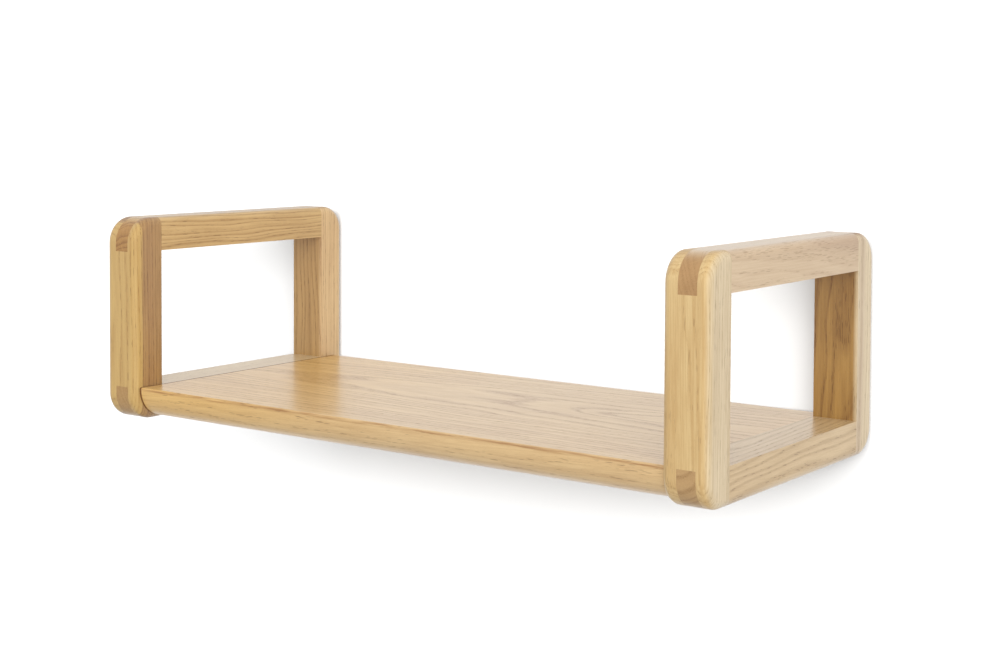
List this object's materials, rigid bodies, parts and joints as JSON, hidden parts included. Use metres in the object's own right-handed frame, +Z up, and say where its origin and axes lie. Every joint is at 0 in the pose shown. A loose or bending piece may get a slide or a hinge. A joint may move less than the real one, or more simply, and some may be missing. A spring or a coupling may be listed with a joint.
{
  "type": "floating wall shelf",
  "caption": "Open wall shelf: a thick oak board held between closed rectangular end frames with through-tenoned corners, hung on keyhole plates.",
  "frame": {"origin": "midway between the entry holes of the two keyhole plates, on the wall plane at the back of the end frames", "axes": "+X along the board to the right as seen from the room, +Y into the wall, +Z up; the shelf stands out from the wall along -Y"},
  "size_m": [0.7, 0.315, 0.206],
  "materials": {
    "frame_oak": "satin clear-oiled oak, grain along each bar",
    "board_oak": "satin clear-oiled oak, flat-sawn figure along the board",
    "dowel_beech": "plain turned beech, unfinished",
    "zinc_steel": "bright zinc-plated steel"
  },
  "bodies": {
    "root": {"left_front_stile": "frame_oak", "left_rear_stile": "frame_oak", "left_bottom_rail": "frame_oak", "left_top_rail": "frame_oak", "right_front_stile": "frame_oak", "right_rear_stile": "frame_oak", "right_bottom_rail": "frame_oak", "right_top_rail": "frame_oak", "shelf_board": "board_oak", "left_dowel_1": "dowel_beech", "left_dowel_2": "dowel_beech", "left_dowel_3": "dowel_beech", "left_dowel_4": "dowel_beech", "right_dowel_1": "dowel_beech", "right_dowel_2": "dowel_beech", "right_dowel_3": "dowel_beech", "right_dowel_4": "dowel_beech", "left_hanger_plate": "zinc_steel", "left_hanger_screw_lower": "zinc_steel", "left_hanger_screw_upper": "zinc_steel", "right_hanger_plate": "zinc_steel", "right_hanger_screw_lower": "zinc_steel", "right_hanger_screw_upper": "zinc_steel"}
  },
  "joints": []
}
